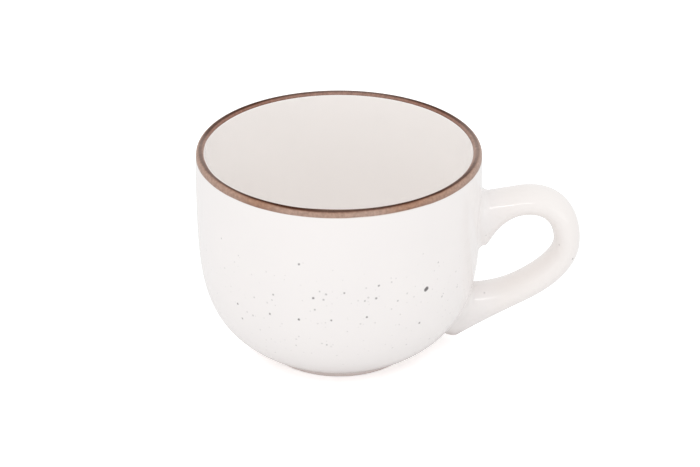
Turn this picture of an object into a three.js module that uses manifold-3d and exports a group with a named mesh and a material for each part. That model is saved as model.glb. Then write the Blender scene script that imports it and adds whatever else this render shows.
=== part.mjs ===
// Glazed stoneware cup with a loop handle, standing on its foot ring.
// Millimetres, +Z up, handle towards +X, the table at z = 0, the origin under the middle of the cup's box.
import * as THREE from 'three';
import { mergeVertices } from 'three/addons/utils/BufferGeometryUtils.js';
import Module from 'manifold-3d';

const wasm = await Module();
wasm.setup();

// Bowl
const cupHeight = 73.6;
const rimDiameter = 95;
const bellyBulge = 0.4;          // how far the widest part of the wall stands out past the rim
const bellyBelowRim = 13.6;      // from the lip down to the widest part of the wall
const wallThickness = 3;         // at the lip and down to the widest part
const wallFootThickness = 4.8;   // what the wall would thicken to at the table, where it runs into the floor
const wallUpright = 34.5;        // how long the wall stays upright below its widest part
const undersideDiameter = 52.6;  // where the bowl's underside leaves the foot
const undersideRise = 29;        // degrees
const undersideSweep = 23.7;     // how long the underside runs on before it turns up into the wall
const floorThickness = 5.5;
const floorFlatRadius = 22;
const floorTurn = 0.3;           // how far up the wall curve the floor's corner reaches, from 0 to 1

// Coats
const glazeThickness = 0.4;
const bandOutside = 2.35;        // brown edge, from the lip's top down the outside
const bandInsideTurn = 70;       // brown edge, degrees over the lip's top to the inside

// Foot
const footDiameter = 51.2;
const footWidth = 3.6;
const footHeight = 2.2;
const footEdge = 0.6;            // bevel where the foot meets the table

// Handle
const handleStandOff = 33.4;     // from the belly's widest part to the handle's outer face
const handleWidth = 14;
const armThickness = 9.4;
const tipThickness = 8.9;
const tipHeight = 40.95;
const tipTurnUp = 10;            // how long the handle stays upright above its tip
const tipTurnDown = 12;          // and below it
const tipBlend = 17;             // length over which the arms thin towards the tip
const rootSink = 1.5;            // how far the handle's middle line starts inside the wall's face
const upperRootHeight = 48.75;
const upperRootRise = 33;        // degrees, the way the upper arm leaves the wall
const upperRootPull = 27.5;      // how long the upper arm keeps that way
const upperFlare = 11.3;         // how much thicker the upper arm is where its flare is widest
const upperFlareLength = 17.2;
const upperFlareCurve = 1.6;     // power of the flare's curve, higher keeps the arm slim for longer
const upperFlareBehind = 2;      // how far behind the root the flare is widest
const upperEndRound = 4.5;       // length over which the end rounds off behind that
const lowerRootHeight = 14.15;
const lowerRootRise = 12.8;      // degrees
const lowerRootPull = 18.3;
const lowerFlare = 11.9;
const lowerFlareLength = 25.8;
const lowerFlareCurve = 2;
const lowerFlareBehind = 1.2;
const lowerEndRound = 7;

// Handle joints
const slipThickness = 0.8;
const slipBead = 1.2;            // how far the slip shows round the handle's end
const fitGap = 0.3;              // between pieces that are cut to fit each other

// Mesh fineness
const latheSegments = 44;
const bowlSteps = 9;
const upperWallSteps = 2;
const bandWallSteps = 1;
const lipSteps = 6;
const innerLipSteps = 1;
const floorSteps = 4;
const wallHalvings = 30;
const handleSides = 18;
const handleRings = 56;

const radians = THREE.MathUtils.degToRad;
const rimRadius = rimDiameter / 2;
const bellyRadius = rimRadius + bellyBulge;
const bellyHeight = cupHeight - bellyBelowRim;
const lipRadius = wallThickness / 2;
const footRadius = footDiameter / 2;
const footInnerRadius = footRadius - footWidth;
const upperRoot = {
  height: upperRootHeight,
  rise: upperRootRise,
  pull: upperRootPull,
  flare: upperFlare,
  flareLength: upperFlareLength,
  flareCurve: upperFlareCurve,
  flareBehind: upperFlareBehind,
  endRound: upperEndRound,
};
const lowerRoot = {
  height: lowerRootHeight,
  rise: lowerRootRise,
  pull: lowerRootPull,
  flare: lowerFlare,
  flareLength: lowerFlareLength,
  flareCurve: lowerFlareCurve,
  flareBehind: lowerFlareBehind,
  endRound: lowerEndRound,
};

// The outer wall in half section, from the foot up to the start of the lip
function bowlCurve() {
  const rise = radians(undersideRise);
  const start = new THREE.Vector2(undersideDiameter / 2, footHeight - glazeThickness * Math.cos(rise));
  const low = new THREE.Vector2(Math.cos(rise), Math.sin(rise)).multiplyScalar(undersideSweep).add(start);
  const high = new THREE.Vector2(bellyRadius, bellyHeight - wallUpright);
  return new THREE.CubicBezierCurve(start, low, high, new THREE.Vector2(bellyRadius, bellyHeight));
}

const bowl = bowlCurve();
const lipCentre = new THREE.Vector2(rimRadius - lipRadius, cupHeight - lipRadius);
const lipLean = 2 * Math.atan2(bellyRadius - rimRadius, lipCentre.y - bellyHeight);
const lipStart = lipPoint(lipLean).point;
const shoulder = new THREE.Vector2(bellyRadius, (bellyHeight + lipStart.y) / 2);
const upperWall = new THREE.QuadraticBezierCurve(new THREE.Vector2(bellyRadius, bellyHeight), shoulder, lipStart);
const bandEdge = (cupHeight - bandOutside - bellyHeight) / (lipStart.y - bellyHeight);
const bandEnd = Math.PI / 2 + radians(bandInsideTurn);

// A point on the finished surface, with the direction that faces out of the clay there
function facing(point, travel) {
  return { point, out: new THREE.Vector2(travel.y, -travel.x) };
}

function outsidePoint(curve, t) {
  return facing(curve.getPoint(t), curve.getTangent(t));
}

// The wall thickens evenly from its widest part down to the table
function wallAt(height) {
  const share = THREE.MathUtils.clamp(height / bellyHeight, 0, 1);
  return THREE.MathUtils.lerp(wallFootThickness, wallThickness, share);
}

function insidePoint(curve, t) {
  const { point, out } = outsidePoint(curve, t);
  return { point: point.addScaledVector(out, -wallAt(point.y)), out: out.negate() };
}

function lipPoint(angle) {
  const out = new THREE.Vector2(Math.cos(angle), Math.sin(angle));
  return { point: lipCentre.clone().addScaledVector(out, lipRadius), out };
}

// Evenly spaced stations from one end of a stretch to the other
function stations(from, to, steps, make) {
  return Array.from({ length: steps + 1 }, (_, i) => make(from + (to - from) * i / steps));
}

// The floor's rounded corner, and its flat middle
function floorPoints() {
  const corner = insidePoint(bowl, floorTurn);
  const floorHeight = footHeight + floorThickness;
  const slope = bowl.getTangent(floorTurn);
  const bend = corner.point.x - (corner.point.y - floorHeight) * slope.x / slope.y;
  const curve = new THREE.QuadraticBezierCurve(
    corner.point,
    new THREE.Vector2(bend, floorHeight),
    new THREE.Vector2(Math.min(floorFlatRadius, bend), floorHeight),
  );
  const centre = facing(new THREE.Vector2(0, floorHeight), new THREE.Vector2(-1, 0));
  return [...stations(0, 1, floorSteps, (t) => outsidePoint(curve, t)).slice(1), centre];
}

// The finished surface in three stretches, each starting where the one before ends
const outsideSkin = [
  ...stations(0, 1, bowlSteps, (t) => outsidePoint(bowl, t)),
  ...stations(0, bandEdge, upperWallSteps, (t) => outsidePoint(upperWall, t)).slice(1),
];
const bandSkin = [
  ...stations(bandEdge, 1, bandWallSteps, (t) => outsidePoint(upperWall, t)),
  ...stations(lipLean, bandEnd, lipSteps, lipPoint).slice(1),
];
const insideSkin = [
  ...stations(bandEnd, Math.PI + lipLean, innerLipSteps, lipPoint),
  ...stations(1, 0, upperWallSteps + bandWallSteps, (t) => insidePoint(upperWall, t)).slice(1),
  ...stations(1, floorTurn, bowlSteps, (t) => insidePoint(bowl, t)).slice(1),
  ...floorPoints(),
];

// The same stretch of surface, moved in or out of the clay
function moved(skin, distance) {
  return skin.map(({ point, out }) => point.clone().addScaledVector(out, distance));
}

// A solid turned round the cup's axis from a half section
function turned(points) {
  return new THREE.LatheGeometry(points, latheSegments).rotateX(Math.PI / 2);
}

function coat(skin) {
  const face = moved(skin, 0);
  const back = moved(skin, -glazeThickness).reverse();
  return turned([...face, ...back, face[0]]);
}

// What lies inside the outer wall moved out by a distance
function insideWall(distance) {
  const wall = moved([...outsideSkin, ...bandSkin.slice(1)], distance);
  const low = new THREE.Vector2(0, wall[0].y);
  const high = new THREE.Vector2(0, wall.at(-1).y);
  return turned([low, ...wall, high]);
}

function clayBody() {
  const clay = moved([...outsideSkin, ...bandSkin.slice(1), ...insideSkin.slice(1)], -glazeThickness);
  return turned([new THREE.Vector2(0, clay[0].y), ...clay]);
}

function footRing() {
  const section = [
    [footInnerRadius, footHeight],
    [footInnerRadius, footEdge],
    [footInnerRadius + footEdge, 0],
    [footRadius - footEdge, 0],
    [footRadius, footEdge],
    [footRadius, footHeight],
    [footInnerRadius, footHeight],
  ];
  return turned(section.map(([radius, height]) => new THREE.Vector2(radius, height)));
}

function baseGlaze() {
  const radius = footInnerRadius - fitGap;
  const low = footHeight - glazeThickness;
  const section = [[0, low], [radius, low], [radius, footHeight], [0, footHeight]];
  return turned(section.map(([across, height]) => new THREE.Vector2(across, height)));
}

// The outer wall's radius at a height, found by halving
function wallRadius(height) {
  let low = 0;
  let high = 1;
  for (let i = 0; i < wallHalvings; i += 1) {
    const middle = (low + high) / 2;
    if (bowl.getPoint(middle).y < height) low = middle;
    else high = middle;
  }
  return bowl.getPoint(low).x;
}

// The handle's middle line in the plane of the handle, from behind the upper root to behind the lower one
function handleLine() {
  const ends = [upperRoot, lowerRoot].map(({ height, rise, pull, flareBehind, endRound }) => {
    const start = new THREE.Vector2(wallRadius(height) - rootSink, height);
    const way = new THREE.Vector2(Math.cos(radians(rise)), Math.sin(radians(rise)));
    return {
      start,
      pulled: start.clone().addScaledVector(way, pull),
      behind: start.clone().addScaledVector(way, -flareBehind - endRound),
    };
  });
  const [upper, lower] = ends;
  const tip = new THREE.Vector2(bellyRadius + handleStandOff - tipThickness / 2, tipHeight);
  const above = new THREE.Vector2(tip.x, tipHeight + tipTurnUp);
  const below = new THREE.Vector2(tip.x, tipHeight - tipTurnDown);
  const line = new THREE.CurvePath();
  line.add(new THREE.LineCurve(upper.behind, upper.start));
  line.add(new THREE.CubicBezierCurve(upper.start, upper.pulled, above, tip));
  line.add(new THREE.CubicBezierCurve(tip, below, lower.pulled, lower.start));
  line.add(new THREE.LineCurve(lower.start, lower.behind));
  return line;
}

const middleLine = handleLine();
const lineLength = middleLine.getLength();
const tipDistance = middleLine.getCurveLengths()[1];

// The handle's thickness in its own plane, at a distance along its middle line
function handleThickness(distance) {
  const near = Math.max(0, 1 - Math.abs(distance - tipDistance) / tipBlend);
  const arm = THREE.MathUtils.lerp(armThickness, tipThickness, THREE.MathUtils.smoothstep(near, 0, 1));
  const flares = [[upperRoot, distance], [lowerRoot, lineLength - distance]];
  return flares.reduce((thickness, [root, fromEnd]) => {
    const fromWidest = fromEnd - root.endRound;
    const share = Math.max(0, 1 - Math.max(0, fromWidest) / root.flareLength);
    const rounded = Math.sqrt(1 - Math.min(1, Math.max(0, -fromWidest) / root.endRound) ** 2);
    return (thickness + root.flare * share ** root.flareCurve) * rounded;
  }, arm);
}

// The handle from one share of its middle line to another, grown all round by an amount
function handleLoft(from, to, grow) {
  const rings = Math.round(handleRings * (to - from));
  const geometry = new THREE.CylinderGeometry(1, 1, 1, handleSides, rings);
  const place = geometry.getAttribute('position');
  for (let i = 0; i < place.count; i += 1) {
    const share = THREE.MathUtils.lerp(from, to, place.getY(i) + 0.5);
    const middle = middleLine.getPoint(share);
    const { out } = facing(middle, middleLine.getTangent(share));
    const thick = place.getX(i) * (handleThickness(share * lineLength) / 2 + grow);
    const across = -place.getZ(i) * (handleWidth / 2 + grow);
    place.setXYZ(i, middle.x + out.x * thick, across, middle.y + out.y * thick);
  }
  return geometry;
}

// A closed geometry as a solid that can be cut
function solid(geometry) {
  const bare = geometry.clone();
  bare.deleteAttribute('normal');
  bare.deleteAttribute('uv');
  const merged = mergeVertices(bare);
  const corners = Array.from(merged.index.array);
  const triVerts = [];
  for (let i = 0; i < corners.length; i += 3) {
    const [a, b, c] = corners.slice(i, i + 3);
    if (a !== b && b !== c && c !== a) triVerts.push(a, b, c);
  }
  return new wasm.Manifold(new wasm.Mesh({
    numProp: 3,
    vertProperties: new Float32Array(merged.getAttribute('position').array),
    triVerts: new Uint32Array(triVerts),
  }));
}

function geometryOf(manifold) {
  const { vertProperties, triVerts } = manifold.getMesh();
  const geometry = new THREE.BufferGeometry();
  geometry.setAttribute('position', new THREE.BufferAttribute(vertProperties, 3));
  geometry.setIndex(new THREE.BufferAttribute(triVerts, 1));
  return geometry.toNonIndexed();
}

// The outer coat stops short of the slip at both ends of the handle
function outerGlaze() {
  const windows = solid(handleLoft(0, 1, slipBead + fitGap));
  return geometryOf(solid(coat(outsideSkin)).subtract(windows));
}

// The slip lies between the bare clay and the handle's end, and shows as a bead round it
const slipBack = fitGap - glazeThickness;
const slipFace = slipBack + slipThickness;

function slipJoint(from, to) {
  const face = moved(outsideSkin, slipFace);
  const back = moved(outsideSkin, slipBack).reverse();
  const layer = solid(turned([...face, ...back, face[0]]));
  return geometryOf(layer.intersect(solid(handleLoft(from, to, slipBead))));
}

function handle() {
  const loop = solid(handleLoft(0, 1, 0));
  return geometryOf(loop.subtract(solid(insideWall(slipFace + fitGap))));
}

// Finishes
const fired = { color: 0xdfd7cd, roughness: 0.85, metalness: 0 };
const speckled = { color: 0xf4f1ef, roughness: 0.15, metalness: 0 };
const liner = { color: 0xf3f0ee, roughness: 0.15, metalness: 0 };
const edge = { color: 0x8a6753, roughness: 0.35, metalness: 0 };
const foot = { color: 0xe3dcd5, roughness: 0.9, metalness: 0 };

const cup = new THREE.Group();
const handleReach = bellyRadius + handleStandOff;
cup.position.x = (bellyRadius - handleReach) / 2;

function addPart(name, geometry, finish) {
  const mesh = new THREE.Mesh(geometry, new THREE.MeshStandardMaterial(finish));
  mesh.name = name;
  cup.add(mesh);
}

addPart('cup_body', clayBody(), fired);
addPart('foot_ring', footRing(), foot);
addPart('inner_glaze', coat(insideSkin), liner);
addPart('outer_glaze', outerGlaze(), speckled);
addPart('base_glaze', baseGlaze(), speckled);
addPart('rim_band', coat(bandSkin), edge);
addPart('handle', handle(), speckled);
addPart('upper_handle_joint', slipJoint(0, 0.5), speckled);
addPart('lower_handle_joint', slipJoint(0.5, 1), speckled);

const model = new THREE.Group();
model.add(cup);
export default model;
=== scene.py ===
# Speckled cup with a brown lip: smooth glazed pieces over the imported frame, in metres
import math
from bisect import bisect_left

import bmesh
import bpy
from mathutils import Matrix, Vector
from mathutils.geometry import interpolate_bezier


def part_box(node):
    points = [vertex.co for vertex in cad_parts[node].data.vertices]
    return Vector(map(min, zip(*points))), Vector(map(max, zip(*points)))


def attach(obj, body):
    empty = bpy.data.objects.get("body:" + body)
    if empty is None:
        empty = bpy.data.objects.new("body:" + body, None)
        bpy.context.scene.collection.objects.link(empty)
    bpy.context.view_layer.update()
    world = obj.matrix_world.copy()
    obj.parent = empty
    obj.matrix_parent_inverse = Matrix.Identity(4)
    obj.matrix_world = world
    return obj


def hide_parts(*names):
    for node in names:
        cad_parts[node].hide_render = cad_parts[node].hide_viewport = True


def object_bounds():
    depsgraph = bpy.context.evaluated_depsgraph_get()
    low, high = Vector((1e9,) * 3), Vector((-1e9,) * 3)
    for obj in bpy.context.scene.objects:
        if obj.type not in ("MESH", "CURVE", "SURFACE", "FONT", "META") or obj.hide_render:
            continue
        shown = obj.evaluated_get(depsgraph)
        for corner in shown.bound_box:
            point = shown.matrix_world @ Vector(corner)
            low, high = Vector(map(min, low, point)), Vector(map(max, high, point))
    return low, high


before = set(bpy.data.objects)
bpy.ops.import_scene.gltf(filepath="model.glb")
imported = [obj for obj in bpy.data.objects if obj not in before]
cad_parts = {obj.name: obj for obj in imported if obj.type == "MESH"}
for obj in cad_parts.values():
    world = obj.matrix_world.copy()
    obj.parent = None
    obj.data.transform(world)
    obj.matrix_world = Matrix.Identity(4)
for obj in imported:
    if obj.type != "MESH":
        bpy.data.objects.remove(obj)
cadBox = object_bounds()
mm = 0.001
footLow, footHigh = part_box("foot_ring")
axisX = (footLow.x + footHigh.x) / 2  # the bowl's own axis, in the row frame
cupHeight = cadBox[1][2] / mm
print("frame loaded with", len(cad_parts), "nodes, height", round(cupHeight, 2), "mm")


# Small helpers for meshes

meshing = {"mergeGap": 0.002, "sharpAngle": 38, "around": 192}  # mm, degrees, faces round a turned piece


def newPiece(bm, name, material, replaced):
    bmesh.ops.remove_doubles(bm, verts=bm.verts, dist=meshing["mergeGap"] * mm)
    bmesh.ops.recalc_face_normals(bm, faces=bm.faces)
    for face in bm.faces:
        face.smooth = True
    for edge in bm.edges:
        if edge.is_manifold and edge.calc_face_angle() > math.radians(meshing["sharpAngle"]):
            edge.smooth = False
    mesh = bpy.data.meshes.new(name)
    bm.to_mesh(mesh)
    bm.free()
    piece = bpy.data.objects.new(name, mesh)
    bpy.context.scene.collection.objects.link(piece)
    mesh.materials.append(material)
    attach(piece, "root")
    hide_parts(*replaced)
    print("made", name, "with", len(mesh.polygons), "faces")


def turnedPiece(name, section, material, replaced):
    # section is a half section in mm, (radius, height), walked once round
    bm = bmesh.new()
    verts = [bm.verts.new((axisX + point.x * mm, 0, point.y * mm)) for point in section]
    edges = [bm.edges.new(pair) for pair in zip(verts, verts[1:])]
    if section[0].x > 0 or section[-1].x > 0:
        edges.append(bm.edges.new((verts[-1], verts[0])))
    bmesh.ops.spin(
        bm, geom=verts + edges, cent=(axisX, 0, 0), axis=(0, 0, 1),
        angle=math.tau, steps=meshing["around"], use_merge=True)
    newPiece(bm, name, material, replaced)


def bezier(start, startPull, endPull, end, count):
    return interpolate_bezier(Vector(start), Vector(startPull), Vector(endPull), Vector(end), count)


def cornerCurve(start, corner, end, count):
    # one plain bend that heads for the corner from both ends
    pull = 2 / 3
    return bezier(start, start.lerp(corner, pull), end.lerp(corner, pull), end, count)


def heading(angle):
    # unit vector at an angle up from the level
    return Vector((math.cos(angle), math.sin(angle)))


def across(points, i):
    # unit vector to the right of the way of travel, at one point of a line
    before, after = points[max(i - 1, 0)], points[min(i + 1, len(points) - 1)]
    way = (after - before).normalized()
    return Vector((way.y, -way.x))


def shifted(points, distance):
    # the same line moved to its right
    return [point + across(points, i) * distance for i, point in enumerate(points)]


# Small helpers for materials

noiseMiddle = 0.5  # a noise texture's mean level


def colour(hexText):
    parts = [int(hexText[i:i + 2], 16) / 255 for i in (1, 3, 5)]
    return tuple(c / 12.92 if c <= 0.04045 else ((c + 0.055) / 1.055) ** 2.4 for c in parts) + (1.0,)


def addNode(tree, kind, inputs=None, **settings):
    # an input is a plain value, a socket, or a node, which gives its first live output
    node = tree.nodes.new("ShaderNode" + kind)
    for key, value in settings.items():
        setattr(node, key, value)
    for key, value in (inputs or {}).items():
        if isinstance(value, bpy.types.Node):
            value = next(socket for socket in value.outputs if socket.enabled)
        if isinstance(value, bpy.types.NodeSocket):
            tree.links.new(value, node.inputs[key])
        else:
            node.inputs[key].default_value = value
    return node


def newMaterial(name, roughness, ior):
    material = bpy.data.materials.new(name)
    material.use_nodes = True
    tree = material.node_tree
    shader = tree.nodes["Principled BSDF"]
    shader.inputs["Roughness"].default_value = roughness
    shader.inputs["IOR"].default_value = ior
    # Object coordinates with the bowl's axis in the middle
    coords = addNode(tree, "TexCoord")
    place = addNode(tree, "Mapping", {"Vector": coords.outputs["Object"], "Location": (-axisX, 0, 0)})
    return material, tree, shader, place


# Materials

whiteLook = {
    "light": "#f7f3f1", "deep": "#f3efee", "cloud": 26,     # mm across the soft clouds in the white
    "handleWhite": "#f6f1ee", "handleFade": (1, 10),        # mm past the belly where the warmer coat comes in
    "lowTint": "#d8cbc7", "footShadeFade": (9, 1.8),              # painted shade above the foot: mm up where it begins, and where it is full
    "iron": "#3f3c3d", "ragged": (0.7, 0.35),               # mm, grain and depth of the specks' uneven edges
    "ripple": 9, "rippleDepth": 0.05, "rippleStrength": 0.15,  # mm across and mm deep
    "roughness": 0.12, "ironRoughness": 0.3, "ior": 1.52,
}
fineSpecks = {
    "beltLow": (4, 22), "beltHigh": (58, 40),   # mm up the wall where the speckled belt fades in
    "clump": 14, "clumpEdge": (0.36, 0.58),     # mm across the gatherings, noise levels at their edges
    "sparse": 0.4,                              # share of the specks left between the gatherings
    "edge": 0.28, "placedEdge": 0.448,          # mm, soft edge where the iron melts into the glaze
    # none are sown by the handle: mm from its plane, and mm out from the bowl's axis
    "clearAcross": (15, 19), "clearOut": (28, 34),
    "sowings": [
        # mm between specks, smallest and largest radius in mm, share of cells in use,
        # palest and darkest, and a shuffle in mm
        {"cell": 2.4, "radius": (0.3, 0.52), "share": 0.5, "dark": (0.08, 0.36), "shuffle": (31, 7, 3)},
        {"cell": 1.7, "radius": (0.3, 0.42), "share": 0.5, "dark": (0.06, 0.19), "shuffle": (5, 23, 11)},
    ],
}
bowlSpecks = [
    # degrees round from the front towards the handle, mm up, mm across, how dark
    (38.75, 40.75, 1.85, 0.85), (39.2, 41.05, 1.85, 0.9), (-7.5, 42.3, 1.15, 0.85), (-13.5, 33.5, 1.2, 0.85),
    (-0.5, 34.2, 1.0, 0.9), (13.5, 35, 1.1, 0.8), (4.5, 44.6, 1.0, 0.7), (18, 46.4, 1.1, 0.7),
    (17, 41.8, 1.1, 0.7), (-42.5, 32.6, 1.1, 0.8), (-26, 33.4, 1.1, 0.8), (-41, 27.2, 1.0, 0.7),
    (-13, 54.2, 1.1, 0.7), (37, 28.2, 1.1, 0.7), (-24, 41.2, 1.0, 0.6), (12.5, 41.3, 1.0, 0.5),
    (-2.5, 44, 1.0, 0.5), (-5, 45, 0.9, 0.4), (-3.5, 42, 1.0, 0.5), (-7, 38, 1.0, 0.5),
    (26, 39.5, 1.0, 0.5), (13, 46, 0.9, 0.35), (30, 41.5, 0.9, 0.3), (-50.5, 54.5, 0.9, 0.4),
    (-34.5, 30.5, 1.0, 0.45), (-37.5, 31, 0.9, 0.3), (-2.5, 24, 1.0, 0.5), (-4.5, 24.5, 0.9, 0.35),
    (-33, 38, 0.9, 0.4), (-49, 44, 0.9, 0.25), (-14, 26.5, 0.9, 0.3), (56, 42, 0.9, 0.3),
]
handleSpecks = [
    # mm along from the upper root, degrees round the section from the loop's inside, mm across, how dark
    (45, -128, 1.0, 0.75), (40.5, -52, 0.9, 0.4), (77.5, -40, 1.0, 0.3), (0.5, -56, 0.9, 0.25),
]


def sownSpecks(tree, place, sowing):
    # one speck to a cell, thinned out by chance, above and below the belt and between gatherings
    height = addNode(tree, "SeparateXYZ", {"Vector": place}).outputs["Z"]
    low, high = [
        addNode(tree, "MapRange", {"Value": height, "From Min": outside * mm, "From Max": inside * mm},
                interpolation_type="SMOOTHSTEP")
        for outside, inside in (fineSpecks["beltLow"], fineSpecks["beltHigh"])]
    belt = addNode(tree, "Math", {0: low, 1: high}, operation="MULTIPLY")
    clumps = addNode(tree, "TexNoise", {"Vector": place, "Scale": 1 / (fineSpecks["clump"] * mm)})
    thin, full = fineSpecks["clumpEdge"]
    gathered = addNode(tree, "MapRange", {
        "Value": clumps, "From Min": thin, "From Max": full, "To Min": fineSpecks["sparse"]})
    amount = addNode(tree, "Math", {0: belt, 1: gathered}, operation="MULTIPLY")
    cell = sowing["cell"]
    shuffled = addNode(tree, "Mapping", {"Vector": place, "Location": [v * mm for v in sowing["shuffle"]]})
    cells = addNode(tree, "TexVoronoi", {"Vector": shuffled, "Scale": 1 / (cell * mm)})
    chance = addNode(tree, "SeparateColor", {"Color": cells.outputs["Color"]})
    empty = addNode(tree, "Math", {0: amount, 1: -sowing["share"], 2: 1.0}, operation="MULTIPLY_ADD")
    present = addNode(tree, "Math", {0: chance.outputs["Red"], 1: empty}, operation="GREATER_THAN")
    small, large = sowing["radius"]
    radius = addNode(tree, "MapRange", {
        "Value": chance.outputs["Blue"], "To Min": small / cell, "To Max": large / cell})
    reach = addNode(tree, "Math", {0: radius, 1: present}, operation="MULTIPLY")
    inside = addNode(tree, "Math", {0: reach, 1: cells.outputs["Distance"]}, operation="SUBTRACT")
    spot = addNode(tree, "Math", {
        0: inside, 1: cell / fineSpecks["edge"]}, operation="MULTIPLY", use_clamp=True)
    pale, dark = sowing["dark"]
    strength = addNode(tree, "MapRange", {"Value": chance.outputs["Green"], "To Min": pale, "To Max": dark})
    return addNode(tree, "Math", {0: spot, 1: strength}, operation="MULTIPLY")


def placedSpecks(tree, place, total):
    # the few large specks, each a soft uneven spot on the surface
    spots = [(onBowl(turn, up), wide, dark) for turn, up, wide, dark in bowlSpecks]
    spots += [
        (onHandle(upperRootDistance + along, math.radians(turn)), wide, dark)
        for along, turn, wide, dark in handleSpecks]
    for centre, wide, dark in spots:
        gap = addNode(tree, "VectorMath", {0: place, 1: centre * mm}, operation="DISTANCE")
        spot = addNode(tree, "MapRange", {
            "Value": gap, "From Min": wide / 2 * mm,
            "From Max": (wide / 2 - fineSpecks["placedEdge"]) * mm, "To Max": dark})
        total = addNode(tree, "Math", {0: total, 1: spot}, operation="MAXIMUM")
    return total


def speckledGlaze():
    # gloss white tin glaze, dipped: a deep soft white, iron specks melted into it, warmer on the handle, with
    # painted shade low above the foot
    look = whiteLook
    material, tree, shader, place = newMaterial("speckled_white_glaze", look["roughness"], look["ior"])
    cloud = addNode(tree, "TexNoise", {"Vector": place, "Scale": 1 / (look["cloud"] * mm), "Detail": 2.0})
    white = addNode(tree, "Mix", {
        "Factor": cloud, "A": colour(look["light"]), "B": colour(look["deep"])}, data_type="RGBA")
    level = addNode(tree, "VectorMath", {0: place, 1: (1, 1, 0)}, operation="MULTIPLY")
    radius = addNode(tree, "VectorMath", {0: level}, operation="LENGTH")
    near, far = [(bowl["belly"] + past) * mm for past in look["handleFade"]]
    onArm = addNode(tree, "MapRange", {
        "Value": radius.outputs["Value"], "From Min": near, "From Max": far}, interpolation_type="SMOOTHSTEP")
    white = addNode(tree, "Mix", {
        "Factor": onArm, "A": white, "B": colour(look["handleWhite"])}, data_type="RGBA")
    split = addNode(tree, "SeparateXYZ", {"Vector": place})
    # painted shade: a darker clay-pink tint low on the wall above the foot, growing towards the table
    thick, fullShadeHeight = [up * mm for up in look["footShadeFade"]]
    thinned = addNode(tree, "MapRange", {
        "Value": split.outputs["Z"], "From Min": thick, "From Max": fullShadeHeight}, interpolation_type="SMOOTHSTEP")
    overFoot = addNode(tree, "MapRange", {
        "Value": radius.outputs["Value"], "From Min": footInner * mm, "From Max": foot["outer"] * mm})
    paintedFootShade = addNode(tree, "Math", {0: thinned, 1: overFoot}, operation="MULTIPLY")
    white = addNode(tree, "Mix", {
        "Factor": paintedFootShade, "A": white, "B": colour(look["lowTint"])}, data_type="RGBA")
    # the specks' outlines wander a little
    grain, depth = look["ragged"]
    wander = addNode(tree, "TexNoise", {"Vector": place, "Scale": 1 / (grain * mm), "Detail": 1.0})
    centred = addNode(tree, "VectorMath", {
        0: wander.outputs["Color"], 1: [noiseMiddle] * 3}, operation="SUBTRACT")
    push = addNode(tree, "VectorMath", {0: centred, "Scale": depth * mm}, operation="SCALE")
    ragged = addNode(tree, "VectorMath", {0: place, 1: push}, operation="ADD")
    fine = [sownSpecks(tree, ragged, sowing) for sowing in fineSpecks["sowings"]]
    sown = addNode(tree, "Math", {0: fine[0], 1: fine[1]}, operation="MAXIMUM")
    aside = addNode(tree, "Math", {0: split.outputs["Y"]}, operation="ABSOLUTE")
    near, far = [v * mm for v in fineSpecks["clearAcross"]]
    beside = addNode(tree, "MapRange", {"Value": aside, "From Min": near, "From Max": far})
    near, far = [v * mm for v in fineSpecks["clearOut"]]
    inward = addNode(tree, "MapRange", {"Value": split.outputs["X"], "From Min": far, "From Max": near})
    offHandle = addNode(tree, "Math", {0: beside, 1: inward}, operation="MAXIMUM")
    sown = addNode(tree, "Math", {0: sown, 1: offHandle}, operation="MULTIPLY")
    specks = placedSpecks(tree, ragged, sown)
    iron = addNode(tree, "Mix", {"Factor": specks, "A": white, "B": colour(look["iron"])}, data_type="RGBA")
    tree.links.new(iron.outputs["Result"], shader.inputs["Base Color"])
    gloss = addNode(tree, "MapRange", {
        "Value": specks, "To Min": look["roughness"], "To Max": look["ironRoughness"]})
    tree.links.new(gloss.outputs["Result"], shader.inputs["Roughness"])
    ripple = addNode(tree, "TexNoise", {"Vector": place, "Scale": 1 / (look["ripple"] * mm), "Detail": 1.0})
    bump = addNode(tree, "Bump", {
        "Height": ripple, "Strength": look["rippleStrength"], "Distance": look["rippleDepth"] * mm})
    tree.links.new(bump.outputs["Normal"], shader.inputs["Normal"])
    return material


linerLook = {
    "light": "#fbf8f6", "deep": "#f8f5f3", "cloud": 30,     # mm across the soft clouds in the white
    "ripple": 11, "rippleDepth": 0.05, "rippleStrength": 0.12,  # mm across and mm deep
    "roughness": 0.16, "ior": 1.52,
}


def linerGlaze():
    # plain gloss white glaze, poured: an even warm white without specks
    look = linerLook
    material, tree, shader, place = newMaterial("plain_liner_glaze", look["roughness"], look["ior"])
    cloud = addNode(tree, "TexNoise", {"Vector": place, "Scale": 1 / (look["cloud"] * mm), "Detail": 2.0})
    white = addNode(tree, "Mix", {
        "Factor": cloud, "A": colour(look["light"]), "B": colour(look["deep"])}, data_type="RGBA")
    tree.links.new(white.outputs["Result"], shader.inputs["Base Color"])
    ripple = addNode(tree, "TexNoise", {"Vector": place, "Scale": 1 / (look["ripple"] * mm), "Detail": 1.0})
    bump = addNode(tree, "Bump", {
        "Height": ripple, "Strength": look["rippleStrength"], "Distance": look["rippleDepth"] * mm})
    tree.links.new(bump.outputs["Normal"], shader.inputs["Normal"])
    return material


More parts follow.
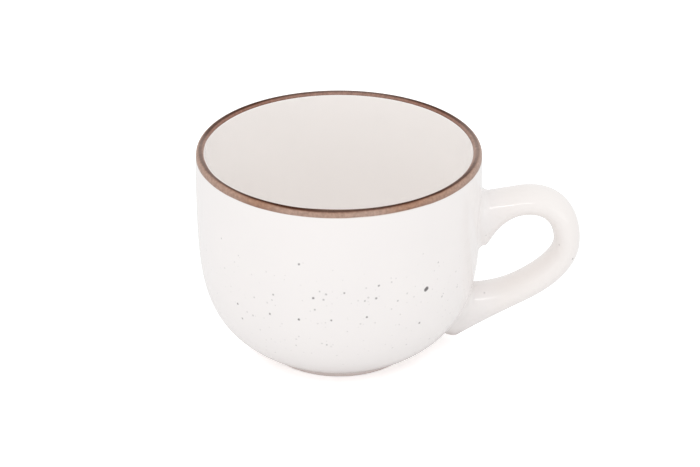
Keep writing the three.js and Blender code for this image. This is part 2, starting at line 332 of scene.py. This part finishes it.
edgeLook = {
    # degrees round the lip's section, from the outer face over the crest to the inner side
    "shades": [
        (-29, "#987766"), (0, "#a07d6b"), (20, "#ac8670"), (40, "#ad8670"), (54, "#a47c67"),
        (64, "#86614d"), (72, "#593624"), (78, "#462414"), (101, "#462414"), (109, "#6a4636"),
        (119, "#946e5f"), (138, "#977062"), (151, "#75513f"), (160, "#745040"),
    ],
    # degrees round the rim from the front towards the handle, then shares of
    # how thin it is on the outer face, how thin on the crest, and how far the shades slip outward
    "round": [
        (-180, (0.5, 0.3, 0.29)), (-135, (0.3, 0, 0.29)), (-105, (0.5, 0.1, 0.33)),
        (-90, (0.6, 0.45, 0.48)), (-60, (0.55, 0.33, 0.57)), (-45, (0.4, 0.1, 0.43)),
        (-30, (0, 0, 0.62)), (-16, (0.55, 0, 0.93)), (0, (0.45, 0.15, 1)), (14, (0.65, 0.1, 0.73)),
        (30, (0, 0, 0.52)), (45, (0.25, 0, 0.45)), (60, (0.5, 0.1, 0.4)),
        (90, (0.9, 0.55, 0.48)), (135, (0.4, 0, 0.29)), (180, (0.5, 0.3, 0.29)),
    ],
    # and of how far the white comes up over the outer margin, and over the inner one
    "margins": [
        (-180, (0.3, 0.05)), (-120, (0.3, 0.07)), (-105, (0.3, 0.17)), (-92, (0.3, 0.33)),
        (-75, (0.3, 0.56)), (-58, (0.3, 0.86)), (-45, (0.25, 0.9)), (-30, (0, 0.92)),
        (-14, (0, 1)), (0, (0.3, 0.78)), (14, (0.7, 0.8)), (27, (1, 0.65)),
        (45, (0.5, 0.6)), (62, (0.35, 0.5)), (80, (0.3, 0.1)), (180, (0.3, 0.05)),
    ],
    "thin": "#b9a297", "crestFrom": (45, 70),            # degrees where the outer face goes over to the crest
    "slip": (-20, 22),                                   # degrees that the shades slip outward
    "inner": (164, 84), "innerSoft": 10,                 # degrees, inner margin at its lowest and highest
    "streak": 1.3, "squeeze": 0.2,                       # mm across a brush mark, its breadth over its length
    "streakWander": 0.3,                                 # radians that the shades wander with the marks
    "mottle": 0.9, "mottleSpread": (0.3, 0.7),           # mm of grain, noise levels from thick to thin
    "mottleDepth": (0.8, 1.14),                          # what that multiplies the brown by
    "white": "#efe9e5", "margin": (-0.1, 0.12),          # mm above the band's edge where it melts in
    "marginRise": 0.4, "marginStreak": 0.25,             # mm that the outer margin rises and wanders
    "brushDepth": 0.03, "brushStrength": 0.3,            # mm that the brush marks stand up
    "roughness": 0.4, "ior": 1.55, "specular": 0.08,
}


def brownEdgeGlaze():
    # iron oxide edge, brushed on a turning wheel: matt, dark on the crest, paler on the outer face
    look = edgeLook
    material, tree, shader, place = newMaterial("brown_iron_edge_glaze", look["roughness"], look["ior"])
    shader.inputs["Specular IOR Level"].default_value = look["specular"]
    ramps = []
    shades = [(degrees, colour(shade)) for degrees, shade in look["shades"]]
    thinning = [(degrees, (*shares, 1)) for degrees, shares in look["round"]]
    margins = [(degrees, (*rises, 0, 1)) for degrees, rises in look["margins"]]
    for stops, blend in ((shades, "LINEAR"), (thinning, "EASE"), (margins, "EASE")):
        ramp = addNode(tree, "ValToRGB")
        ramp.color_ramp.interpolation = blend
        elements = ramp.color_ramp.elements
        while len(elements) < len(stops):
            elements.new(0.5)  # each is put in its place below, and then coloured
        first, last = stops[0][0], stops[-1][0]
        for element, (degrees, _) in zip(elements, stops):
            element.position = (degrees - first) / (last - first)
        for element, (_, value) in zip(elements, stops):
            element.color = value
        ramps.append((ramp, math.radians(first), math.radians(last)))
    split = addNode(tree, "SeparateXYZ", {"Vector": place})
    level = addNode(tree, "CombineXYZ", {"X": split.outputs["X"], "Y": split.outputs["Y"]})
    radius = addNode(tree, "VectorMath", {0: level}, operation="LENGTH")
    outward = addNode(tree, "Math", {0: radius, 1: lipCentre.x * mm}, operation="SUBTRACT")
    upward = addNode(tree, "Math", {0: split.outputs["Z"], 1: lipCentre.y * mm}, operation="SUBTRACT")
    turn = addNode(tree, "Math", {0: upward, 1: outward}, operation="ARCTAN2")
    # what changes round the rim
    forward = addNode(tree, "Math", {0: split.outputs["Y"], 1: -1.0}, operation="MULTIPLY")
    around = addNode(tree, "Math", {0: split.outputs["X"], 1: forward}, operation="ARCTAN2")
    changes = []
    for ramp, first, last in ramps[1:]:
        share = addNode(tree, "MapRange", {"Value": around, "From Min": first, "From Max": last})
        tree.links.new(share.outputs["Result"], ramp.inputs["Fac"])
        changes.append(addNode(tree, "SeparateColor", {"Color": ramp.outputs["Color"]}).outputs)
    (onFace, onCrest, outSlip), (outerRise, innerRise, _) = changes
    # brush marks run round the lip, so the pattern is squeezed along it
    along = addNode(tree, "VectorMath", {0: level, "Scale": look["squeeze"]}, operation="SCALE")
    overLip = addNode(tree, "Math", {0: turn, 1: lipRadius * mm}, operation="MULTIPLY")
    rise = addNode(tree, "CombineXYZ", {"Z": overLip})
    brushed = addNode(tree, "VectorMath", {0: along, 1: rise}, operation="ADD")
    streaks = addNode(tree, "TexNoise", {
        "Vector": brushed, "Scale": 1 / (look["streak"] * mm), "Detail": 5.0})
    wander = addNode(tree, "Math", {0: streaks, 1: noiseMiddle}, operation="SUBTRACT")
    least, most = [math.radians(degrees) for degrees in look["slip"]]
    slip = addNode(tree, "MapRange", {"Value": outSlip, "To Min": least, "To Max": most})
    slipped = addNode(tree, "Math", {0: turn, 1: slip}, operation="ADD")
    moved = addNode(tree, "Math", {0: wander, 1: look["streakWander"], 2: slipped}, operation="MULTIPLY_ADD")
    ramp, first, last = ramps[0]
    share = addNode(tree, "MapRange", {"Value": moved, "From Min": first, "From Max": last})
    tree.links.new(share.outputs["Result"], ramp.inputs["Fac"])
    # thin and pale where the brush ran dry
    face, crest = [math.radians(degrees) for degrees in look["crestFrom"]]
    upOver = addNode(tree, "MapRange", {"Value": slipped, "From Min": face, "From Max": crest})
    thinned = addNode(tree, "Mix", {"Factor": upOver, "A": onFace, "B": onCrest}, data_type="FLOAT")
    brown = addNode(tree, "Mix", {"Factor": thinned, "A": ramp, "B": colour(look["thin"])}, data_type="RGBA")
    mottle = addNode(tree, "TexNoise", {"Vector": place, "Scale": 1 / (look["mottle"] * mm), "Detail": 3.0})
    low, high = look["mottleSpread"]
    thick, thin = look["mottleDepth"]
    depth = addNode(tree, "MapRange", {
        "Value": mottle, "From Min": low, "From Max": high, "To Min": thick, "To Max": thin})
    mottled = addNode(tree, "VectorMath", {0: brown, "Scale": depth}, operation="SCALE")
    # the two margins rise and fall a little and melt into the white
    margin = addNode(tree, "Math", {
        0: wander, 1: look["marginStreak"] * mm, 2: upward}, operation="MULTIPLY_ADD")
    lower = addNode(tree, "Math", {
        0: outerRise, 1: -look["marginRise"] * mm, 2: margin}, operation="MULTIPLY_ADD")
    start, end = [(bandEdge - lipCentre.y + above) * mm for above in look["margin"]]
    outerFade = addNode(tree, "MapRange", {"Value": lower, "From Min": start, "From Max": end})
    least, most = [math.radians(degrees) for degrees in look["inner"]]
    innerEdge = addNode(tree, "MapRange", {"Value": innerRise, "To Min": least, "To Max": most})
    past = addNode(tree, "Math", {0: turn, 1: innerEdge}, operation="SUBTRACT")
    innerFade = addNode(tree, "MapRange", {
        "Value": past, "From Max": math.radians(look["innerSoft"]), "To Min": 1.0, "To Max": 0.0})
    fade = addNode(tree, "Math", {0: outerFade, 1: innerFade}, operation="MULTIPLY")
    melted = addNode(tree, "Mix", {
        "Factor": fade, "A": colour(look["white"]), "B": mottled}, data_type="RGBA")
    tree.links.new(melted.outputs["Result"], shader.inputs["Base Color"])
    bump = addNode(tree, "Bump", {
        "Height": streaks, "Strength": look["brushStrength"], "Distance": look["brushDepth"] * mm})
    tree.links.new(bump.outputs["Normal"], shader.inputs["Normal"])
    return material


clayLook = {
    "footShades": ("#ebe1de", "#dfd4d0"), "bodyShades": ("#e6dfd6", "#d8cfc4"),
    "grog": 1.2, "gritDepth": 0.06, "gritStrength": 0.4,    # mm across the grit, mm that it stands up
    "roughness": 0.85, "ior": 1.5,
}


def bareClay(name, light, dark):
    # unglazed fired stoneware: matt, with fine grog in it
    look = clayLook
    material, tree, shader, place = newMaterial(name, look["roughness"], look["ior"])
    grog = addNode(tree, "TexNoise", {"Vector": place, "Scale": 1 / (look["grog"] * mm), "Detail": 6.0})
    clay = addNode(tree, "Mix", {"Factor": grog, "A": colour(light), "B": colour(dark)}, data_type="RGBA")
    tree.links.new(clay.outputs["Result"], shader.inputs["Base Color"])
    bump = addNode(tree, "Bump", {
        "Height": grog, "Strength": look["gritStrength"], "Distance": look["gritDepth"] * mm})
    tree.links.new(bump.outputs["Normal"], shader.inputs["Normal"])
    return material


# Bowl, in half section

bowl = {
    "rim": 47.5, "belly": 47.9, "bellyBelowRim": 13.6,      # mm, the first two are radii
    "wall": 3.0, "wallLow": 4.8, "glaze": 0.4,
    "upright": 34.5, "underside": 26.3, "undersideRise": 29, "undersideSweep": 23.7,  # the rise is in degrees
    "floorThick": 5.5, "floorFlat": 22, "floorTurn": 0.3,   # the turn is a share of the low wall
    "bandOutside": 2.35, "bandInsideTurn": 70,              # mm down outside, degrees past the top inside
    "bandClear": 0.05,                                      # mm, no other point as near the band's edge
    "lowPoints": 60, "upperPoints": 25, "floorPoints": 20, "lipSteps": 30, "insideLipSteps": 6,
}
foot = {"outer": (footHigh.x - footLow.x) / 2 / mm, "width": 3.6, "height": footHigh.z / mm, "edge": 0.7}
footInner = foot["outer"] - foot["width"]

bellyHeight = cupHeight - bowl["bellyBelowRim"]
bellyPoint = Vector((bowl["belly"], bellyHeight))
riseWay = heading(math.radians(bowl["undersideRise"]))
bowlStart = Vector((bowl["underside"], foot["height"] - bowl["glaze"] * riseWay.x))
lowWall = bezier(
    bowlStart, bowlStart + riseWay * bowl["undersideSweep"],
    (bowl["belly"], bellyHeight - bowl["upright"]), bellyPoint, bowl["lowPoints"])
lipRadius = bowl["wall"] / 2
lipCentre = Vector((bowl["rim"] - lipRadius, cupHeight - lipRadius))
lipLean = 2 * math.atan2(bowl["belly"] - bowl["rim"], lipCentre.y - bellyHeight)


def lipPoint(angle):
    return lipCentre + heading(angle) * lipRadius


lipStart = lipPoint(lipLean)
shoulder = Vector((bowl["belly"], (bellyHeight + lipStart.y) / 2))
upperWall = cornerCurve(bellyPoint, shoulder, lipStart, bowl["upperPoints"])
outerWall = list(lowWall) + list(upperWall[1:])
bandEdge = cupHeight - bowl["bandOutside"]
lipEnd = math.pi / 2 + math.radians(bowl["bandInsideTurn"])


def wallRadius(height):
    for low, high in zip(outerWall, outerWall[1:]):
        if height <= high.y:
            return low.x + (high.x - low.x) * max(0.0, height - low.y) / (high.y - low.y)
    return outerWall[-1].x


def arcPoints(start, end, steps):
    return [lipPoint(start + (end - start) * i / steps) for i in range(steps + 1)]


def coatSection(face):
    return list(face) + shifted(face, -bowl["glaze"])[::-1]


belowBand = [point for point in outerWall if point.y < bandEdge - bowl["bandClear"]]
aboveBand = [point for point in outerWall if point.y > bandEdge + bowl["bandClear"]]
bandStart = Vector((wallRadius(bandEdge), bandEdge))
outsideFace = belowBand + [bandStart]
bandFace = [bandStart] + aboveBand[:-1] + arcPoints(lipLean, lipEnd, bowl["lipSteps"])


def wallAt(height):
    # the wall thickens evenly from its widest part down to the table
    share = min(1.0, max(0.0, height / bellyHeight))
    return bowl["wallLow"] + (bowl["wall"] - bowl["wallLow"]) * share


insideWall = [point - across(outerWall, i) * wallAt(point.y) for i, point in enumerate(outerWall)]
floorHeight = foot["height"] + bowl["floorThick"]
floorCorner = round(bowl["floorTurn"] * (len(lowWall) - 1))
corner = insideWall[floorCorner]
slope = insideWall[floorCorner + 1] - insideWall[floorCorner - 1]
bend = Vector((corner.x - (corner.y - floorHeight) * slope.x / slope.y, floorHeight))
flat = Vector((min(bowl["floorFlat"], bend.x), floorHeight))
floorCurve = cornerCurve(corner, bend, flat, bowl["floorPoints"])
insideFace = (
    arcPoints(lipEnd, math.pi + lipLean, bowl["insideLipSteps"]) + insideWall[floorCorner + 1:-1][::-1]
    + list(floorCurve) + [Vector((0, floorHeight))])
clayFace = shifted(outsideFace + bandFace[1:] + insideFace[1:], -bowl["glaze"])
clayFace[-1].x = 0.0

# Handle: an oval section swept along a middle line in the plane y = 0, flared at its two roots

handle = {
    "standOff": 33.4, "width": 14, "arm": 9.4, "tip": 8.9, "tipHeight": 40.95,  # mm
    "turnUp": 10, "turnDown": 12, "tipBlend": 17,
    "sink": 1.5, "buried": 1.0,         # mm that the roots and the trimmed ends lie under the wall's face
    # rises in degrees, the flare is widest a little behind the root, and the end rounds off behind that
    "upper": {
        "height": 48.75, "rise": 33, "pull": 27.5, "flare": 11.3, "flareLength": 17.2, "flareCurve": 1.6,
        "behind": 2.0, "round": 4.5},
    "lower": {
        "height": 14.15, "rise": 12.8, "pull": 18.3, "flare": 11.9, "flareLength": 25.8, "flareCurve": 2.0,
        "behind": 1.2, "round": 7.0},
    "linePoints": 200, "sides": 96, "rings": 150,
    "clearOfWall": 30, "halvings": 40,  # mm from the line's end where the search for the wall starts
}


def handleLine():
    ends = {}
    for name in ("upper", "lower"):
        root = handle[name]
        start = Vector((wallRadius(root["height"]) - handle["sink"], root["height"]))
        way = heading(math.radians(root["rise"]))
        ends[name] = (start, start + way * root["pull"], start - way * (root["behind"] + root["round"]))
    tip = Vector((bowl["belly"] + handle["standOff"] - handle["tip"] / 2, handle["tipHeight"]))
    up = tip + Vector((0, handle["turnUp"]))
    down = tip - Vector((0, handle["turnDown"]))
    first = bezier(ends["upper"][0], ends["upper"][1], up, tip, handle["linePoints"])
    second = bezier(tip, down, ends["lower"][1], ends["lower"][0], handle["linePoints"])
    line = [ends["upper"][2]] + list(first) + list(second[1:]) + [ends["lower"][2]]
    return line, len(first)


middleLine, tipIndex = handleLine()
lineSteps = [0.0]
for before, after in zip(middleLine, middleLine[1:]):
    lineSteps.append(lineSteps[-1] + (after - before).length)
lineLength = lineSteps[-1]
tipDistance = lineSteps[tipIndex]
upperRootDistance = handle["upper"]["behind"] + handle["upper"]["round"]


def onLine(distance):
    # point and direction at a distance along the middle line
    i = bisect_left(lineSteps, distance, 1, len(lineSteps) - 1)
    share = (distance - lineSteps[i - 1]) / (lineSteps[i] - lineSteps[i - 1])
    wayIn = (middleLine[i] - middleLine[max(i - 2, 0)]).normalized()
    wayOut = (middleLine[min(i + 1, len(middleLine) - 1)] - middleLine[i - 1]).normalized()
    return middleLine[i - 1].lerp(middleLine[i], share), wayIn.lerp(wayOut, share).normalized()


def smooth(value):
    held = min(1.0, max(0.0, value))
    return held * held * (3 - 2 * held)


def handleThickness(distance):
    near = smooth(1 - abs(distance - tipDistance) / handle["tipBlend"])
    thickness = handle["arm"] + (handle["tip"] - handle["arm"]) * near
    for name, fromEnd in (("upper", distance), ("lower", lineLength - distance)):
        root = handle[name]
        away = fromEnd - root["round"]
        share = max(0.0, 1 - max(0.0, away) / root["flareLength"])
        rounded = math.sqrt(max(0.0, 1 - min(1.0, max(0.0, -away) / root["round"]) ** 2))
        thickness = (thickness + root["flare"] * share ** root["flareCurve"]) * rounded
    return thickness


def onHandle(distance, turn):
    # a point of the handle's surface in mm, about the bowl's axis
    middle, way = onLine(distance)
    outward = Vector((way.y, -way.x))
    thick = math.cos(turn) * handleThickness(distance) / 2
    wide = math.sin(turn) * handle["width"] / 2
    return Vector((middle.x + outward.x * thick, wide, middle.y + outward.y * thick))


def onBowl(turn, up):
    # a point of the outer wall in mm, about the bowl's axis
    angle = math.radians(turn)
    return Vector((math.sin(angle), -math.cos(angle), 0)) * wallRadius(up) + Vector((0, 0, up))


whiteGlaze = speckledGlaze()
liner = linerGlaze()
brownEdge = brownEdgeGlaze()
footClay = bareClay("bare_foot_stoneware", *clayLook["footShades"])
bodyClay = bareClay("fired_white_stoneware", *clayLook["bodyShades"])
print("materials ready")

insideCoat = coatSection(insideFace)
backStart = len(insideFace)
insideCoat[backStart].x = 0.0
insideCoat = insideCoat[backStart:] + insideCoat[:backStart]  # from the axis round to the axis
turnedPiece("clay_bowl", [Vector((0, clayFace[0].y))] + clayFace, bodyClay, ["cup_body"])
turnedPiece("outer_coat", coatSection(outsideFace), whiteGlaze, ["outer_glaze"])
turnedPiece("inner_coat", insideCoat, liner, ["inner_glaze"])
turnedPiece("lip_band", coatSection(bandFace), brownEdge, ["rim_band"])

# Foot ring and the glazed base inside it


def footSection():
    # square ring with its two lower edges rounded
    edge = foot["edge"]
    low = [
        Vector((side - way * edge * (1 - math.sin(turn)), edge * (1 - math.cos(turn))))
        for side, way, turns in ((footInner, -1, (90, 60, 30, 0)), (foot["outer"], 1, (0, 30, 60, 90)))
        for turn in map(math.radians, turns)]
    return [Vector((footInner, foot["height"]))] + low + [Vector((foot["outer"], foot["height"]))]


turnedPiece("foot_clay_ring", footSection(), footClay, ["foot_ring"])

base = {"gap": 0.3, "bevel": 0.2}  # mm to the foot ring, and off the coat's lower edge
baseLow = foot["height"] - bowl["glaze"]
baseRadius = footInner - base["gap"]
baseSection = [
    (0, baseLow), (baseRadius - base["bevel"], baseLow), (baseRadius, baseLow + base["bevel"]),
    (baseRadius, foot["height"]), (0, foot["height"])]
turnedPiece("base_coat", list(map(Vector, baseSection)), whiteGlaze, ["base_glaze"])

# Handle and the beads of slip round its two ends

bead = {
    # mm up the handle and along the wall: on the loop's inner and outer edges, and on its two faces
    "inner": 0.7, "outer": {"upper": 1.9, "lower": 0.7}, "faces": 4.5,
    "steps": 16, "pull": 0.6, "lead": 0.9,  # points over the fillet, shares of its reach
    "back": 0.5, "sunk": 0.04,              # mm behind the corner, and under the wall's face
}
turns = [math.tau * i / handle["sides"] for i in range(handle["sides"])]


def inRow(point):
    return Vector((point.x * mm + axisX, point.y * mm, point.z * mm))


def loft(bm, rings):
    # a closed ring of edges, extruded from station to station
    sideOf = bm.verts.layers.int.new("side")
    start = bmesh.ops.create_circle(bm, segments=len(rings[0]), radius=1.0)["verts"]
    for side, vert in enumerate(start):
        vert[sideOf] = side
    ring, edges = set(start), list(bm.edges)
    for number, station in enumerate(rings):
        if number:
            made = bmesh.ops.extrude_edge_only(bm, edges=edges)["geom"]
            ring = {item for item in made if isinstance(item, bmesh.types.BMVert)}
            edges = [item for item in made if isinstance(item, bmesh.types.BMEdge)
                     and all(vert in ring for vert in item.verts)]
        for vert in ring:
            vert.co = inRow(station[vert[sideOf]])
    return set(start), ring


def meetsWall(rootName, turn, depth=0.0):
    # distance along the middle line where one line of the handle's surface lies this deep under the wall
    clear = handle["clearOfWall"]
    inner, outer = (0.0, clear) if rootName == "upper" else (lineLength, lineLength - clear)
    for _ in range(handle["halvings"]):
        middle = (inner + outer) / 2
        point = onHandle(middle, turn)
        if math.hypot(point.x, point.y) < wallRadius(point.z) - depth:
            inner = middle
        else:
            outer = middle
    return middle


handleEnds = [[meetsWall(name, turn, handle["buried"]) for turn in turns] for name in ("upper", "lower")]
handleStations = [
    [onHandle(first + (last - first) * step / handle["rings"], turn)
     for first, last, turn in zip(*handleEnds, turns)]
    for step in range(handle["rings"] + 1)]
handleMesh = bmesh.new()
for ring in loft(handleMesh, handleStations):
    edgeLoop = [edge for edge in handleMesh.edges if all(vert in ring for vert in edge.verts)]
    endFace = bmesh.ops.edgeloop_fill(handleMesh, edges=edgeLoop)["faces"]
    bmesh.ops.poke(handleMesh, faces=endFace)
newPiece(handleMesh, "loop_handle", whiteGlaze, ["handle"])


def wallFacing(point):
    # the wall's outward direction at a point on it
    step = 0.2  # mm up and down
    lean = (wallRadius(point.z + step) - wallRadius(point.z - step)) / (2 * step)
    level = Vector((point.x, point.y, 0)).normalized()
    return Vector((level.x, level.y, -lean)).normalized()


def inPlane(way, facing):
    return (way - facing * way.dot(facing)).normalized()


def slipBead(name, node, rootName):
    # a smeared fillet: wide and soft on the handle's two faces, tight at its upper and lower edges
    wayOut = 1 if rootName == "upper" else -1
    meets = [meetsWall(rootName, turn) for turn in turns]
    joints = [onHandle(distance, turn) for distance, turn in zip(meets, turns)]
    centre = sum(joints, Vector()) / len(joints)
    sections = []
    for distance, turn, joint in zip(meets, turns, joints):
        edge = bead["inner"] + (bead["outer"][rootName] - bead["inner"]) * (1 - math.cos(turn)) / 2
        leg = edge + (bead["faces"] - edge) * math.sin(turn) ** 2
        top = onHandle(distance + wayOut * leg, turn)
        topWay = (onHandle(distance + wayOut * leg * bead["lead"], turn) - top).normalized()
        facing = wallFacing(joint)
        away = inPlane(joint - centre, facing)
        low = joint + away * leg
        low.xy = low.xy.normalized() * (wallRadius(low.z) - bead["sunk"])
        lowWay = inPlane(joint - low, wallFacing(low))
        pull = leg * bead["pull"]
        sweep = interpolate_bezier(top, top + topWay * pull, low + lowWay * pull, low, bead["steps"])
        sections.append(list(sweep) + [joint - (away + facing) * bead["back"]])
    bm = bmesh.new()
    loft(bm, sections + sections[:1])
    newPiece(bm, name, whiteGlaze, [node])


slipBead("upper_slip_bead", "upper_handle_joint", "upper")
slipBead("lower_slip_bead", "lower_handle_joint", "lower")

# Camera at the photograph's viewing angle

view = {
    "distance": 800, "elevation": 27.75, "turn": 2.5,   # mm, degrees
    "scale": 2.947, "imageWidth": 700, "sensor": 36,    # pixels to a mm at the cup, pixels, mm
    "shiftX": 0.0157, "shiftY": 0.0168,                 # shares of the image's width
}
target = Vector((axisX, 0, cupHeight / 2 * mm))
lift, turn = math.radians(view["elevation"]), math.radians(view["turn"])
aim = Vector((math.sin(turn) * math.cos(lift), -math.cos(turn) * math.cos(lift), math.sin(lift)))
cameraData = bpy.data.cameras.new("photo_camera")
cameraData.sensor_width = view["sensor"]
cameraData.lens = view["scale"] * view["distance"] * view["sensor"] / view["imageWidth"]
cameraData.shift_x = view["shiftX"]
cameraData.shift_y = view["shiftY"]
camera = bpy.data.objects.new("photo_camera", cameraData)
camera.location = target + aim * view["distance"] * mm
camera.rotation_euler = (-aim).to_track_quat("-Z", "Y").to_euler()
bpy.context.scene.collection.objects.link(camera)
bpy.context.scene.camera = camera

# Pale floor, white surroundings and soft lamps

studio = {
    "world": 0.92,                          # level of the room's light on the cup
    "bounces": 12,                          # a white cup lights its own inside
    "card": "#f0f0f0", "floorSize": 4.0,    # metres
    "floorGlow": 0.5, "floorShine": 0.08,   # added for the camera, and for what the gloss mirrors
    "lamps": [
        # name, place from the cup in metres, size, watts
        ("key_soft_box", (-0.13, -0.94, 0.72), (0.52, 0.06), 1.1),
        ("left_fill", (-1.2, -0.9, 0.2), (1.0, 0.9), 1.7),
        ("right_fill", (1.2, -0.9, 0.2), (1.0, 0.9), 1.5),
    ],
}


def seenBy(tree, cameraLevel, mirrorLevel):
    # one level for the camera, another for what gloss and glass show
    path = addNode(tree, "LightPath")
    mirrored = addNode(tree, "Math", {
        0: path.outputs["Is Glossy Ray"], 1: path.outputs["Is Transmission Ray"]}, operation="MAXIMUM")
    shine = addNode(tree, "Math", {0: mirrored, 1: mirrorLevel}, operation="MULTIPLY")
    return addNode(tree, "Math", {
        0: path.outputs["Is Camera Ray"], 1: cameraLevel, 2: shine}, operation="MULTIPLY_ADD")


def floorPaper():
    # white card: reads as plain white, keeps a faint shadow
    material = bpy.data.materials.new("white_card")
    material.use_nodes = True
    tree = material.node_tree
    tree.nodes.clear()
    card = addNode(tree, "BsdfDiffuse", {"Color": colour(studio["card"])})
    glow = seenBy(tree, studio["floorGlow"], studio["floorShine"])
    light = addNode(tree, "Emission", {"Color": (1, 1, 1, 1), "Strength": glow})
    both = addNode(tree, "AddShader", {0: card, 1: light})
    addNode(tree, "OutputMaterial", {"Surface": both})
    return material


floorMesh = bmesh.new()
bmesh.ops.create_grid(floorMesh, x_segments=1, y_segments=1, size=studio["floorSize"] / 2)
floorData = bpy.data.meshes.new("card_floor")
floorMesh.to_mesh(floorData)
floorMesh.free()
floorData.materials.append(floorPaper())
cardFloor = bpy.data.objects.new("card_floor", floorData)
bpy.context.scene.collection.objects.link(cardFloor)

world = bpy.data.worlds.new("white_room")
bpy.context.scene.world = world
world.use_nodes = True
worldTree = world.node_tree
worldTree.nodes.clear()
seen = seenBy(worldTree, 1.0, 1.0)
level = addNode(worldTree, "MapRange", {"Value": seen, "To Min": studio["world"], "To Max": 1.0})
room = addNode(worldTree, "Background", {"Color": (1, 1, 1, 1), "Strength": level})
addNode(worldTree, "OutputWorld", {"Surface": room})

for name, place, size, watts in studio["lamps"]:
    lampData = bpy.data.lights.new(name, "AREA")
    lampData.shape = "RECTANGLE"
    lampData.size, lampData.size_y = size
    lampData.energy = watts
    lamp = bpy.data.objects.new(name, lampData)
    lamp.location = target + Vector(place)
    lamp.rotation_euler = Vector(place).to_track_quat("Z", "Y").to_euler()
    bpy.context.scene.collection.objects.link(lamp)

bpy.context.scene.view_settings.view_transform = "Standard"
bpy.context.scene.cycles.diffuse_bounces = studio["bounces"]
print("camera, floor and lamps ready")
